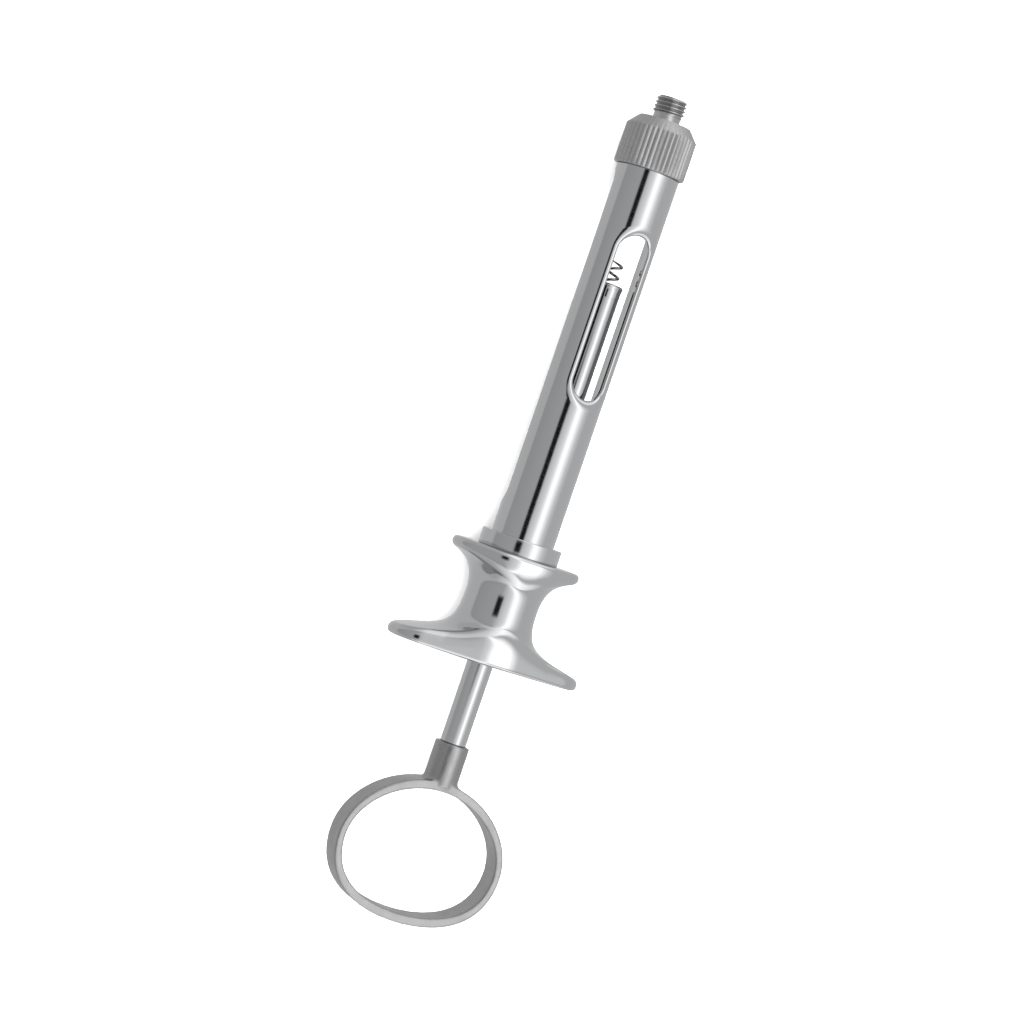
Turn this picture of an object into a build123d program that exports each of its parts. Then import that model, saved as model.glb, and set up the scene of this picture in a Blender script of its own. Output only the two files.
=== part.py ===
from build123d import *
import math
import os

os.makedirs("parts", exist_ok=True)

# Aspirating dental cartridge syringe, in millimetres, lying on its finger grip.
# Every piece is drawn on the X axis, which is the syringe's own axis, with x = 0 at the rear of the
# thumb ring and +X towards the needle. `write` then moves it into the finished frame: origin at the
# middle of the underside, +Z up, the viewing window above and the breech opening below.

# ---------------------------------------------------------------- driving dimensions

# Barrel: its bore takes a standard cartridge, and every piece around it follows from that bore
BORE_RADIUS = 4.7
BARREL_WALL = 1.35
BARREL_RADIUS = BORE_RADIUS + BARREL_WALL
BARREL_LENGTH = 71.7
FRONT_SPIGOT_WALL = 0.8
REAR_SPIGOT_WALL = 0.9
REAR_SPIGOT_LENGTH = 10.0
FRONT_SPIGOT_RADIUS = BORE_RADIUS + FRONT_SPIGOT_WALL
REAR_SPIGOT_RADIUS = BORE_RADIUS + REAR_SPIGOT_WALL
WINDOW_REAR_MARGIN = 27.9
WINDOW_FRONT_MARGIN = 11.9
WINDOW_LENGTH = BARREL_LENGTH - WINDOW_REAR_MARGIN - WINDOW_FRONT_MARGIN
WINDOW_SHARE = 0.66
WINDOW_WIDTH = 2 * BORE_RADIUS * WINDOW_SHARE
WINDOW_ROUNDING = 0.75
BREECH_REAR_MARGIN = 5.5
BREECH_FRONT_MARGIN = 0.9
BREECH_DROP = 0.8
BREECH_END_RADIUS = 3.0
# How far round from square to the grip the lock ring holds the barrel, in degrees
BARREL_TURN = 10.0

# Needle adapter: the screwed tip that takes a standard M6 x 0.75 needle hub
THREAD_RADIUS = 3.0
THREAD_PITCH = 0.75
THREAD_DEPTH = 0.46
THREAD_LENGTH = 3.35
CREST_WIDTH = 0.2 * THREAD_PITCH
ROOT_WIDTH = 0.84 * THREAD_PITCH
RIDGE_SINK = 0.1
TIP_CHAMFER = 0.35
NECK_RADIUS = THREAD_RADIUS - 0.42
NECK_LENGTH = 1.2
NEEDLE_BORE_RADIUS = 1.0
NEEDLE_BORE_CHAMFER = 0.3
BOSS_RADIUS = THREAD_RADIUS + 0.2
ADAPTER_FLANGE_THICKNESS = 1.3
PILOT_LENGTH = 0.9
PILOT_WALL = 0.6
LEAD_CONE_RADIUS = 2.2
LEAD_CONE_LENGTH = 1.2

# Knurled cap
CAP_STANDOFF = 0.75
CAP_RADIUS = BARREL_RADIUS + CAP_STANDOFF
CAP_LENGTH = 9.7
CAP_TOP_THICKNESS = 1.7
CAP_TOP_LAND = 1.73
CAP_TOP_RADIUS = BOSS_RADIUS + CAP_TOP_LAND
CAP_CHAMFER_LENGTH = 2.1
CAP_FOOT_CHAMFER = 0.3
KNURL_COUNT = 44
KNURL_DEPTH = 0.25
GROOVE_SHARE = 0.62

# Collar
COLLAR_STANDOFF = 1.65
COLLAR_RADIUS = BARREL_RADIUS + COLLAR_STANDOFF
COLLAR_LENGTH = 3.0
COLLAR_CHAMFER = 0.25

# Finger grip: a waisted spool with a small front flange and a large rear flange
GRIP_LENGTH = 20.9
GRIP_WALL = 1.4
WAIST_RADIUS = REAR_SPIGOT_RADIUS + GRIP_WALL
WAIST_SHARE = 0.554
FLANGE_HALF_DEPTH = WAIST_RADIUS + 2.0
FLANGE_FLAT_HALF = 1.6
FRONT_WING_REACH = 12.75
REAR_WING_REACH = 19.2
WING_TIP_RADIUS = FLANGE_HALF_DEPTH - 3.0
FRONT_WING_THICKNESS = 1.8
REAR_WING_THICKNESS = 2.0
WING_SLOPE = 0.25
REAR_CURVE_PULLS = (0.65, 0.78)
FRONT_CURVE_PULLS = (0.54, 0.61)
RIM_ROUNDING = 1.0
FACE_ROUNDING = 0.5

# Piston
ROD_RADIUS = 2.5
FORWARD_STROKE = 16.1
HEAD_STANDOFF = 24.4
HEAD_LENGTH = 2.6
HEAD_FLARE = 0.18
HEAD_FLARE_RADIUS = ROD_RADIUS + HEAD_FLARE
HEAD_WAIST_SHARE = 0.3
HEAD_CHAMFER = 0.5
HEAD_RIM = 0.12
HEAD_CUP_DEPTH = 0.35
HEAD_TENON_RADIUS = ROD_RADIUS - 0.45
HEAD_TENON_LENGTH = 5.0

# Corkscrew tip
WIRE_RADIUS = 0.28
COIL_RADIUS = 0.46 * ROD_RADIUS
COIL_PITCH = 2.17
COIL_TURNS = 2.15
SHANK_RADIUS = COIL_RADIUS + WIRE_RADIUS + 0.02

# Thumb ring and its socket
RING_LENGTH = 27.3
RING_WIDTH = 33.0
RING_WIDEST_SHARE = 0.475
RING_END_THICKNESS = 1.75
RING_SIDE_THICKNESS = 1.45
RING_DEPTH = 6.1
RING_EDGE_ROUNDING = 0.4
RING_FRONT_FULLNESS = 0.53
RING_REAR_FULLNESS = 0.63
SOCKET_WALL = 1.3
SOCKET_LENGTH = 7.2
ROD_SPIGOT_RADIUS = ROD_RADIUS - 0.5
SOCKET_RADIUS = ROD_SPIGOT_RADIUS + SOCKET_WALL
SOCKET_FLOOR = 1.7
ROD_SPIGOT_LENGTH = SOCKET_LENGTH - SOCKET_FLOOR

# Rod guides inside the grip
GUIDE_LENGTH = 6.0
GUIDE_SET_BACK = 1.0
SEAL_SECTION_RADIUS = 0.65
SEAL_SIDE_GAP = 0.1
GLAND_NUT_LENGTH = 1.4
GLAND_SLOT_WIDTH = 1.0
GLAND_SLOT_DEPTH = 0.5
BUSH_RADIUS = ROD_RADIUS + 1.5
BUSH_LENGTH = 6.0
BUSH_SET_BACK = 0.4
GRIP_PASSAGE_RADIUS = ROD_RADIUS + 0.9

# Clearances
RUNNING_GAP = 0.05
FIXED_GAP = 0.01
SCREW_GAP = 0.05
CAP_FOOT_GAP = 0.2
SHOULDER_GAP = 0.05

# How close an edge's middle must be to a surface to be picked as lying on it
PICK = 0.01

# ---------------------------------------------------------------- stations along the axis

SOCKET_FRONT = RING_LENGTH + SOCKET_LENGTH
GRIP_REAR = SOCKET_FRONT + FORWARD_STROKE
GRIP_FRONT = GRIP_REAR + GRIP_LENGTH
COLLAR_FRONT = GRIP_FRONT + COLLAR_LENGTH
CAP_REAR = COLLAR_FRONT + BARREL_LENGTH
CAP_FRONT = CAP_REAR + CAP_LENGTH
THREAD_REAR = CAP_FRONT + NECK_LENGTH
OVERALL_LENGTH = THREAD_REAR + THREAD_LENGTH

BARREL_SHOULDER = CAP_REAR - CAP_FOOT_GAP
CAP_CEILING = CAP_FRONT - CAP_TOP_THICKNESS
ADAPTER_FLANGE_REAR = CAP_CEILING - SHOULDER_GAP - ADAPTER_FLANGE_THICKNESS
BARREL_FRONT = ADAPTER_FLANGE_REAR - SHOULDER_GAP
BARREL_REAR = COLLAR_FRONT - REAR_SPIGOT_LENGTH

CAP_BORE_RADIUS = FRONT_SPIGOT_RADIUS + SCREW_GAP
PILOT_RADIUS = BORE_RADIUS - RUNNING_GAP
ADAPTER_FLANGE_RADIUS = FRONT_SPIGOT_RADIUS - RUNNING_GAP

GUIDE_FRONT = COLLAR_FRONT - GUIDE_SET_BACK
GUIDE_REAR = GUIDE_FRONT - GUIDE_LENGTH
GUIDE_BORE_RADIUS = ROD_RADIUS + RUNNING_GAP
SEAL_POCKET_LENGTH = 2 * (SEAL_SECTION_RADIUS + SEAL_SIDE_GAP)
SEAL_CENTRE_RADIUS = GUIDE_BORE_RADIUS + SEAL_SECTION_RADIUS
SEAL_POCKET_RADIUS = SEAL_CENTRE_RADIUS + SEAL_SECTION_RADIUS + FIXED_GAP
SEAL_X = GUIDE_REAR + SEAL_POCKET_LENGTH / 2

HEAD_REAR = CAP_REAR - HEAD_STANDOFF
HEAD_FRONT = HEAD_REAR + HEAD_LENGTH
COIL_START = HEAD_FRONT - HEAD_CUP_DEPTH
COIL_LENGTH = COIL_PITCH * COIL_TURNS

AXIS_HEIGHT = FLANGE_HALF_DEPTH

# ---------------------------------------------------------------- shared shapes


def turned(*profile):
    """A solid of revolution about the X axis, from its (x, radius) corners in order."""
    outline = Polyline(*profile, close=True)
    return revolve(make_face(outline), Axis.X)


def rod(radius, start, end):
    """A plain round bar on the X axis."""
    upright = Cylinder(radius, end - start, align=(Align.CENTER, Align.CENTER, Align.MIN))
    return Pos(start, 0, 0) * Rot(0, 90, 0) * upright


def tube(outer, inner, start, end):
    """A plain tube on the X axis."""
    return rod(outer, start, end) - rod(inner, start, end)


def block(x_range, y_range, z_range):
    """A box between three pairs of limits."""
    size = [high - low for low, high in (x_range, y_range, z_range)]
    middle = [(high + low) / 2 for low, high in (x_range, y_range, z_range)]
    return Pos(*middle) * Box(*size)


# ---------------------------------------------------------------- needle end


def needle_adapter():
    """Threaded tip, neck, clamping flange and a pilot that centres it in the barrel's bore."""
    root_radius = THREAD_RADIUS - THREAD_DEPTH
    flange_front = ADAPTER_FLANGE_REAR + ADAPTER_FLANGE_THICKNESS
    body = turned(
        (ADAPTER_FLANGE_REAR - PILOT_LENGTH, 0),
        (ADAPTER_FLANGE_REAR - PILOT_LENGTH, PILOT_RADIUS),
        (ADAPTER_FLANGE_REAR, PILOT_RADIUS),
        (ADAPTER_FLANGE_REAR, ADAPTER_FLANGE_RADIUS),
        (flange_front, ADAPTER_FLANGE_RADIUS),
        (flange_front, BOSS_RADIUS),
        (CAP_FRONT, BOSS_RADIUS),
        (CAP_FRONT, NECK_RADIUS),
        (THREAD_REAR, NECK_RADIUS),
        (THREAD_REAR, root_radius),
        (OVERALL_LENGTH, root_radius),
        (OVERALL_LENGTH, 0),
    )
    body += thread_ridge(root_radius)
    cup_radius = PILOT_RADIUS - PILOT_WALL
    body -= rod(cup_radius, ADAPTER_FLANGE_REAR - PILOT_LENGTH, ADAPTER_FLANGE_REAR)
    body -= turned(
        (ADAPTER_FLANGE_REAR, 0),
        (ADAPTER_FLANGE_REAR, LEAD_CONE_RADIUS),
        (ADAPTER_FLANGE_REAR + LEAD_CONE_LENGTH, NEEDLE_BORE_RADIUS),
        (OVERALL_LENGTH - NEEDLE_BORE_CHAMFER, NEEDLE_BORE_RADIUS),
        (OVERALL_LENGTH, NEEDLE_BORE_RADIUS + NEEDLE_BORE_CHAMFER),
        (OVERALL_LENGTH, 0),
    )
    return body


def thread_ridge(root_radius):
    """The helical ridge of the needle thread, trimmed at the neck and by the chamfer at the tip."""
    start_point = (THREAD_REAR, 0, 0)
    helix = Helix(THREAD_PITCH, THREAD_LENGTH, root_radius, direction=(1, 0, 0), center=start_point)
    start = helix @ 0
    outward = Vector(0, start.Y, start.Z).normalized()
    section = Plane(origin=(start.X, 0, 0), x_dir=outward, z_dir=Vector(1, 0, 0).cross(outward))
    profile = Polyline(
        (root_radius - RIDGE_SINK, -ROOT_WIDTH / 2),
        (THREAD_RADIUS, -CREST_WIDTH / 2),
        (THREAD_RADIUS, CREST_WIDTH / 2),
        (root_radius - RIDGE_SINK, ROOT_WIDTH / 2),
        close=True,
    )
    ridge = sweep(section * make_face(profile), path=helix, is_frenet=True)
    beyond = THREAD_RADIUS + RIDGE_SINK
    return ridge & turned(
        (THREAD_REAR, 0),
        (THREAD_REAR, beyond),
        (OVERALL_LENGTH - TIP_CHAMFER - RIDGE_SINK, beyond),
        (OVERALL_LENGTH, THREAD_RADIUS - TIP_CHAMFER),
        (OVERALL_LENGTH, 0),
    )


def knurled_cap():
    """Cap nut with straight ribs, clamping the adapter's flange against the front of the barrel."""
    knurl_start = CAP_FRONT - CAP_CHAMFER_LENGTH
    groove_half = math.pi * CAP_RADIUS / KNURL_COUNT * GROOVE_SHARE
    groove = Polyline(
        (CAP_RADIUS - KNURL_DEPTH, 0),
        (CAP_RADIUS + KNURL_DEPTH, 2 * groove_half),
        (CAP_RADIUS + KNURL_DEPTH, -2 * groove_half),
        close=True,
    )
    ribbed = Circle(CAP_RADIUS) - PolarLocations(0, KNURL_COUNT) * make_face(groove)
    cap = Pos(CAP_REAR, 0, 0) * Rot(0, 90, 0) * extrude(ribbed, CAP_LENGTH)
    cap &= turned(
        (CAP_REAR, 0),
        (CAP_REAR, CAP_RADIUS - CAP_FOOT_CHAMFER),
        (CAP_REAR + CAP_FOOT_CHAMFER, CAP_RADIUS),
        (knurl_start, CAP_RADIUS),
        (knurl_start, CAP_RADIUS - KNURL_DEPTH),
        (CAP_FRONT, CAP_TOP_RADIUS),
        (CAP_FRONT, 0),
    )
    cap -= rod(CAP_BORE_RADIUS, CAP_REAR, CAP_CEILING)
    return cap - rod(BOSS_RADIUS + RUNNING_GAP, CAP_CEILING, CAP_FRONT)


# ---------------------------------------------------------------- barrel


def barrel():
    """Tube with a threaded spigot at each end, the viewing window on top and the breech underneath."""
    body = turned(
        (BARREL_REAR, BORE_RADIUS),
        (BARREL_REAR, REAR_SPIGOT_RADIUS),
        (COLLAR_FRONT, REAR_SPIGOT_RADIUS),
        (COLLAR_FRONT, BARREL_RADIUS),
        (BARREL_SHOULDER, BARREL_RADIUS),
        (BARREL_SHOULDER, FRONT_SPIGOT_RADIUS),
        (BARREL_FRONT, FRONT_SPIGOT_RADIUS),
        (BARREL_FRONT, BORE_RADIUS),
    )
    window_middle = COLLAR_FRONT + WINDOW_REAR_MARGIN + WINDOW_LENGTH / 2
    slot = SlotOverall(WINDOW_LENGTH, WINDOW_WIDTH)
    body -= Pos(window_middle, 0, 0) * extrude(slot, BARREL_RADIUS)
    rim = body.edges().filter_by(lambda edge: is_window_rim(edge, window_middle))
    body = fillet(rim, WINDOW_ROUNDING)
    return Rot(BARREL_TURN, 0, 0) * (body - breech_cutter())


def is_window_rim(edge, window_middle):
    """True for the edges where the window breaks the barrel's outer surface."""
    middle = edge @ 0.5
    on_surface = abs(math.hypot(middle.Y, middle.Z) - BARREL_RADIUS) < PICK
    within_window = abs(middle.X - window_middle) < WINDOW_LENGTH / 2 + PICK
    return on_surface and within_window and middle.Z > 0


def breech_cutter():
    """Opens the barrel's underside over the breech, wide enough for a cartridge to drop in."""
    start = COLLAR_FRONT + BREECH_REAR_MARGIN
    end = CAP_REAR - BREECH_FRONT_MARGIN
    cutter = block((start, end), (-2 * BARREL_RADIUS, 2 * BARREL_RADIUS), (-2 * BARREL_RADIUS, -BREECH_DROP))
    corners = cutter.edges().filter_by(Axis.Y).group_by(Axis.Z)[-1]
    return fillet(corners, BREECH_END_RADIUS)


def barrel_collar():
    """Lock ring on the barrel's rear thread, tightened against the finger grip."""
    ring = tube(COLLAR_RADIUS, REAR_SPIGOT_RADIUS + FIXED_GAP, GRIP_FRONT, COLLAR_FRONT)
    outer_edges = ring.edges().filter_by(GeomType.CIRCLE).sort_by(lambda edge: edge.radius)[-2:]
    return chamfer(outer_edges, COLLAR_CHAMFER)


# ---------------------------------------------------------------- finger grip


def waist_curve(face_x, waist_x, reach, thickness, pulls):
    """One side of the spool: leaves the waist along the axis and runs out thin along the wing."""
    inward = 1 if waist_x > face_x else -1
    waist_pull = pulls[0] * abs(waist_x - face_x)
    wing_pull = pulls[1] * (reach - WAIST_RADIUS)
    tip_x = face_x + inward * thickness
    after_waist = (waist_x - inward * waist_pull, WAIST_RADIUS)
    before_tip = (tip_x + inward * WING_SLOPE * wing_pull, reach - wing_pull)
    return Bezier((waist_x, WAIST_RADIUS), after_waist, before_tip, (tip_x, reach))


def wing_plan(reach, start, end):
    """Prism with a flange's outline: two short flats, drawn out to a rounded tip on each side."""
    offset = reach - WING_TIP_RADIUS
    lean = math.asin((FLANGE_HALF_DEPTH - WING_TIP_RADIUS) / (offset - FLANGE_FLAT_HALF))
    across, along = math.cos(lean), math.sin(lean)
    middle = FLANGE_FLAT_HALF
    shoulder = (FLANGE_HALF_DEPTH * across, middle + FLANGE_HALF_DEPTH * along)
    tip = (WING_TIP_RADIUS * across, offset + WING_TIP_RADIUS * along)
    web = Polyline(shoulder, tip, (-tip[0], tip[1]), (-shoulder[0], shoulder[1]), close=True)
    wing = make_face(web) + Pos(0, offset) * Circle(WING_TIP_RADIUS)
    wing += Pos(0, middle) * Circle(FLANGE_HALF_DEPTH)
    outline = wing + mirror(wing, Plane.XZ) + Rectangle(2 * FLANGE_HALF_DEPTH, 2 * middle)
    return Pos(start, 0, 0) * Rot(0, 90, 0) * extrude(outline, end - start)


def winged_half(face_x, waist_x, reach, curve):
    """From the waist to one end of the grip: a turned spool trimmed to the flange's outline."""
    closing = Polyline(curve @ 1, (face_x, reach), (face_x, 0), (waist_x, 0), curve @ 0)
    spool = revolve(make_face([curve, closing]), Axis.X)
    half = spool & wing_plan(reach, min(face_x, waist_x), max(face_x, waist_x))
    rim = [edge for edge in half.edges() if is_rim(edge, face_x, waist_x)]
    half = fillet(rim, RIM_ROUNDING)
    face_edges = half.edges().filter_by(lambda edge: abs((edge @ 0.5).X - face_x) < PICK)
    return fillet(face_edges, FACE_ROUNDING)


def is_rim(edge, face_x, waist_x):
    """True for the edges between a flange's hollow side and its outline."""
    middle_x = (edge @ 0.5).X
    off_ends = abs(middle_x - face_x) > PICK and abs(middle_x - waist_x) > PICK
    return off_ends and edge.geom_type == GeomType.BSPLINE


def finger_grip():
    """Waisted spool, bored for the barrel at the front and for the rear bush at the back."""
    waist_x = GRIP_REAR + GRIP_LENGTH * WAIST_SHARE
    rear_sizes = (REAR_WING_REACH, REAR_WING_THICKNESS, REAR_CURVE_PULLS)
    front_sizes = (FRONT_WING_REACH, FRONT_WING_THICKNESS, FRONT_CURVE_PULLS)
    rear_curve = waist_curve(GRIP_REAR, waist_x, *rear_sizes)
    front_curve = waist_curve(GRIP_FRONT, waist_x, *front_sizes)
    body = winged_half(GRIP_REAR, waist_x, REAR_WING_REACH, rear_curve)
    body += winged_half(GRIP_FRONT, waist_x, FRONT_WING_REACH, front_curve)
    body -= rod(REAR_SPIGOT_RADIUS + FIXED_GAP, BARREL_REAR, GRIP_FRONT)
    body -= rod(GRIP_PASSAGE_RADIUS, GRIP_REAR, GRIP_FRONT)
    return body - rod(BUSH_RADIUS + FIXED_GAP, GRIP_REAR, GRIP_REAR + BUSH_SET_BACK + BUSH_LENGTH)


# ---------------------------------------------------------------- rod guides


def guide_bearing():
    """Plug in the rear of the barrel that guides the rod, stops the piston head and pockets the seal."""
    body = tube(BORE_RADIUS - FIXED_GAP, GUIDE_BORE_RADIUS, GUIDE_REAR, GUIDE_FRONT)
    return body - rod(SEAL_POCKET_RADIUS, GUIDE_REAR, GUIDE_REAR + SEAL_POCKET_LENGTH)


def friction_ring():
    """Rubber ring that grips the rod, so that the piston stays where it is left."""
    return Pos(SEAL_X, 0, 0) * Rot(0, 90, 0) * Torus(SEAL_CENTRE_RADIUS, SEAL_SECTION_RADIUS)


def gland_nut():
    """Slotted ring nut behind the seal."""
    rear = GUIDE_REAR - GLAND_NUT_LENGTH
    body = tube(BORE_RADIUS - FIXED_GAP, GUIDE_BORE_RADIUS, rear, GUIDE_REAR)
    half = GLAND_SLOT_WIDTH / 2
    return body - block((rear, rear + GLAND_SLOT_DEPTH), (-BORE_RADIUS, BORE_RADIUS), (-half, half))


def rear_guide_bush():
    """Plain bush at the mouth of the grip."""
    start = GRIP_REAR + BUSH_SET_BACK
    return tube(BUSH_RADIUS, GUIDE_BORE_RADIUS, start, start + BUSH_LENGTH)


# ---------------------------------------------------------------- piston


def piston_rod():
    """Plain rod with a spigot for the thumb ring and a socket for the head's tenon."""
    body = rod(ROD_RADIUS, SOCKET_FRONT + SHOULDER_GAP, HEAD_REAR)
    body += rod(ROD_SPIGOT_RADIUS, SOCKET_FRONT - ROD_SPIGOT_LENGTH, SOCKET_FRONT + SHOULDER_GAP)
    return body - rod(HEAD_TENON_RADIUS + FIXED_GAP, HEAD_REAR - HEAD_TENON_LENGTH, HEAD_REAR)


def piston_head():
    """Trumpet-shaped head with a chamfered, shallow cup, screwed into the rod by its tenon."""
    flare_x = HEAD_FRONT - HEAD_CHAMFER
    lip_radius = HEAD_FLARE_RADIUS - HEAD_CHAMFER
    body = turned(
        (HEAD_REAR - HEAD_TENON_LENGTH, 0),
        (HEAD_REAR - HEAD_TENON_LENGTH, HEAD_TENON_RADIUS),
        (HEAD_REAR, HEAD_TENON_RADIUS),
        (HEAD_REAR, ROD_RADIUS),
        ((HEAD_REAR + flare_x) / 2, ROD_RADIUS + HEAD_FLARE * HEAD_WAIST_SHARE),
        (flare_x, HEAD_FLARE_RADIUS),
        (HEAD_FRONT, lip_radius),
        (HEAD_FRONT, lip_radius - HEAD_RIM),
        (COIL_START, lip_radius - 2 * HEAD_RIM),
        (COIL_START, 0),
    )
    return body - rod(SHANK_RADIUS + RUNNING_GAP, HEAD_REAR - HEAD_TENON_LENGTH, HEAD_FRONT)


def corkscrew_tip():
    """Coiled wire on a round shank, turned into the cartridge's stopper to pull it back."""
    shank = rod(SHANK_RADIUS, HEAD_REAR - HEAD_TENON_LENGTH + SHOULDER_GAP, COIL_START)
    coil_foot = (COIL_START - WIRE_RADIUS, 0, 0)
    helix = Helix(COIL_PITCH, COIL_LENGTH, COIL_RADIUS, direction=(1, 0, 0), center=coil_foot)
    wire = sweep(Plane(helix @ 0, z_dir=helix % 0) * Circle(WIRE_RADIUS), path=helix, is_frenet=True)
    return shank + Rot(180, 0, 0) * wire


# ---------------------------------------------------------------- thumb ring


def ring_outline(trim_ends, trim_sides):
    """Oval with its widest place on the origin, a slim front half and a fuller, shorter rear half."""
    outline = []
    rear_length = RING_LENGTH * RING_WIDEST_SHARE
    front_end = RING_LENGTH - rear_length - trim_ends
    rear_end = trim_ends - rear_length
    half_width = RING_WIDTH / 2 - trim_sides
    for end, fullness in ((front_end, RING_FRONT_FULLNESS), (rear_end, RING_REAR_FULLNESS)):
        for side in (half_width, -half_width):
            before_side = (end * fullness, side)
            after_end = (end, side * fullness)
            outline.append(Bezier((end, 0), after_end, before_side, (0, side)))
    return make_face(outline)


def thumb_ring():
    """Oval flat-band ring and its socket, in one piece."""
    hole = ring_outline(RING_END_THICKNESS, RING_SIDE_THICKNESS)
    band = extrude(ring_outline(0, 0) - hole, RING_DEPTH / 2, both=True)
    band = fillet(band.edges().filter_by(Axis.Z, reverse=True), RING_EDGE_ROUNDING)
    socket = rod(SOCKET_RADIUS, RING_LENGTH - RING_END_THICKNESS / 2, SOCKET_FRONT)
    body = Pos(RING_LENGTH * RING_WIDEST_SHARE, 0, 0) * band + socket
    hole_rear = SOCKET_FRONT - ROD_SPIGOT_LENGTH - SHOULDER_GAP
    return body - rod(ROD_SPIGOT_RADIUS + RUNNING_GAP, hole_rear, SOCKET_FRONT)


# ---------------------------------------------------------------- write the pieces


def write(name, shape):
    """Move a piece into the finished frame and write its file."""
    shape = Pos(-OVERALL_LENGTH / 2, 0, AXIS_HEIGHT) * shape
    export_step(shape, f"parts/{name}.step")


PIECES = {
    "needle_adapter": needle_adapter,
    "knurled_cap": knurled_cap,
    "barrel": barrel,
    "barrel_collar": barrel_collar,
    "finger_grip": finger_grip,
    "guide_bearing": guide_bearing,
    "friction_ring": friction_ring,
    "gland_nut": gland_nut,
    "rear_guide_bush": rear_guide_bush,
    "piston_rod": piston_rod,
    "piston_head": piston_head,
    "corkscrew_tip": corkscrew_tip,
    "thumb_ring": thumb_ring,
}

for piece_name, make_piece in PIECES.items():
    write(piece_name, make_piece())
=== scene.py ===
# %% [markdown]
# # An aspirating dental syringe
#
# A cartridge syringe is nearly all polished stainless steel, so it has almost no colour of its own.
# What the eye reads is the room: a dark slot, a soft panel and grey walls, bent by each surface.
# The work is therefore in two things, clean curved meshes and a studio worth reflecting.
#
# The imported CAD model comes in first. It fixes every size and joint, and nothing here moves it.

# %% Load the frame
import math

import bmesh
import bpy
from mathutils import Matrix, Vector
from mathutils.geometry import interpolate_bezier


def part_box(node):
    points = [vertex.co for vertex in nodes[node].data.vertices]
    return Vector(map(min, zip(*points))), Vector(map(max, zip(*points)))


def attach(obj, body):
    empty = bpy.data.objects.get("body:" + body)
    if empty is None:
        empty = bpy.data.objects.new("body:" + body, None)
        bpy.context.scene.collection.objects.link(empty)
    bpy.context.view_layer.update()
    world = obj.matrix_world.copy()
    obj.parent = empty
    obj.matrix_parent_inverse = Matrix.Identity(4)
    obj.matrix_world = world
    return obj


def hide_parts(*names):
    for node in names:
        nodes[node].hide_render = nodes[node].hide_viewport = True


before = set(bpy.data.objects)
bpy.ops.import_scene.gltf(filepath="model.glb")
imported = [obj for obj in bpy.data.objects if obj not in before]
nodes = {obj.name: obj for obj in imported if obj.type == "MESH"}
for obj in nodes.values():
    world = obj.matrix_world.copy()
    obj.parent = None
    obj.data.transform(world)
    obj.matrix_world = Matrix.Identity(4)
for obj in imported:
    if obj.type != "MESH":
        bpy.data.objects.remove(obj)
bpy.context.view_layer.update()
MM = 0.001

# %% [markdown]
# The syringe lies along +X with its needle end at +X. Its axis is a line parallel to X, at the
# height of the rod's middle, so one helper reads lengths and radii from the CAD boxes.

# %% Read the syringe's own sizes
rod_low, rod_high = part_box("piston_rod")
AXIS_Z = (rod_low.z + rod_high.z) / 2


def span(node):
    """Where a turned piece starts and ends along X, and its outer radius."""
    low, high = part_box(node)
    return low.x, high.x, (high.y - low.y) / 2


print("axis height in mm:", round(AXIS_Z / MM, 2))

# %% [markdown]
# ## Camera
#
# The camera looks down on the syringe from its left side, about twenty degrees off the vertical,
# with a long lens. It is rolled so that the needle leans to the right. The three picture axes are
# built as vectors, which is easier to follow than three rotation angles.

# %% Camera
TILT = math.radians(20)
LEAN = math.radians(18.88)
CAMERA_DISTANCE = 0.64
SQUARE_ON_X = 0.0080
AIM_X = -0.0016
AIM_SIDE = 0.0035

toward_camera = Vector((0, math.sin(TILT), math.cos(TILT)))
across_picture = Vector((0, -math.cos(TILT), math.sin(TILT)))
along_syringe = Vector((1, 0, 0))

aim = Vector((AIM_X, 0, AXIS_Z)) - across_picture * AIM_SIDE
eye = Vector((SQUARE_ON_X, 0, AXIS_Z)) - across_picture * AIM_SIDE + toward_camera * CAMERA_DISTANCE
back = (eye - aim).normalized()
level_up = (along_syringe - back * along_syringe.dot(back)).normalized()
level_right = level_up.cross(back)
right = level_right * math.cos(LEAN) + level_up * math.sin(LEAN)
up = back.cross(right)

camera_data = bpy.data.cameras.new("camera")
camera_data.sensor_width = 36
camera_data.lens = 121.6
camera_data.clip_start = 0.01
camera = bpy.data.objects.new("camera", camera_data)
camera.matrix_world = Matrix((right, up, back)).transposed().to_4x4()
camera.location = eye
bpy.context.scene.collection.objects.link(camera)
bpy.context.scene.camera = camera

# %% [markdown]
# ## Colour and nodes
#
# Colours are written as sRGB hex, as a paint chart gives them, and turned to linear in one place.
# One small function adds any shader node, sets its properties and sockets, and makes its links.

# %% Colour and node helpers


def linear(hex_colour):
    """A linear RGBA colour from an sRGB hex string."""
    channels = [int(hex_colour[i:i + 2], 16) / 255 for i in (0, 2, 4)]
    return tuple(c / 12.92 if c <= 0.04045 else ((c + 0.055) / 1.055) ** 2.4 for c in channels) + (1,)


def add(tree, kind, settings=None, **sockets):
    """Adds a node. A socket's value is a number, a colour, or another node's output to link."""
    made = tree.nodes.new(kind)
    for name, value in (settings or {}).items():
        setattr(made, name, value)
    for name, value in sockets.items():
        socket = made.inputs[int(name[1:])] if name[1:].isdigit() else made.inputs[name.replace("_", " ")]
        if isinstance(value, bpy.types.NodeSocket):
            tree.links.new(value, socket)
        else:
            socket.default_value = value
    return made


def grey_stops(ramp, stops):
    """Sets a colour ramp from (position, hex) pairs."""
    while len(ramp.elements) < len(stops):
        ramp.elements.new(0.5)
    for element, (position, hex_colour) in zip(ramp.elements, stops):
        element.position = position
        element.color = linear(hex_colour)


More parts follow.
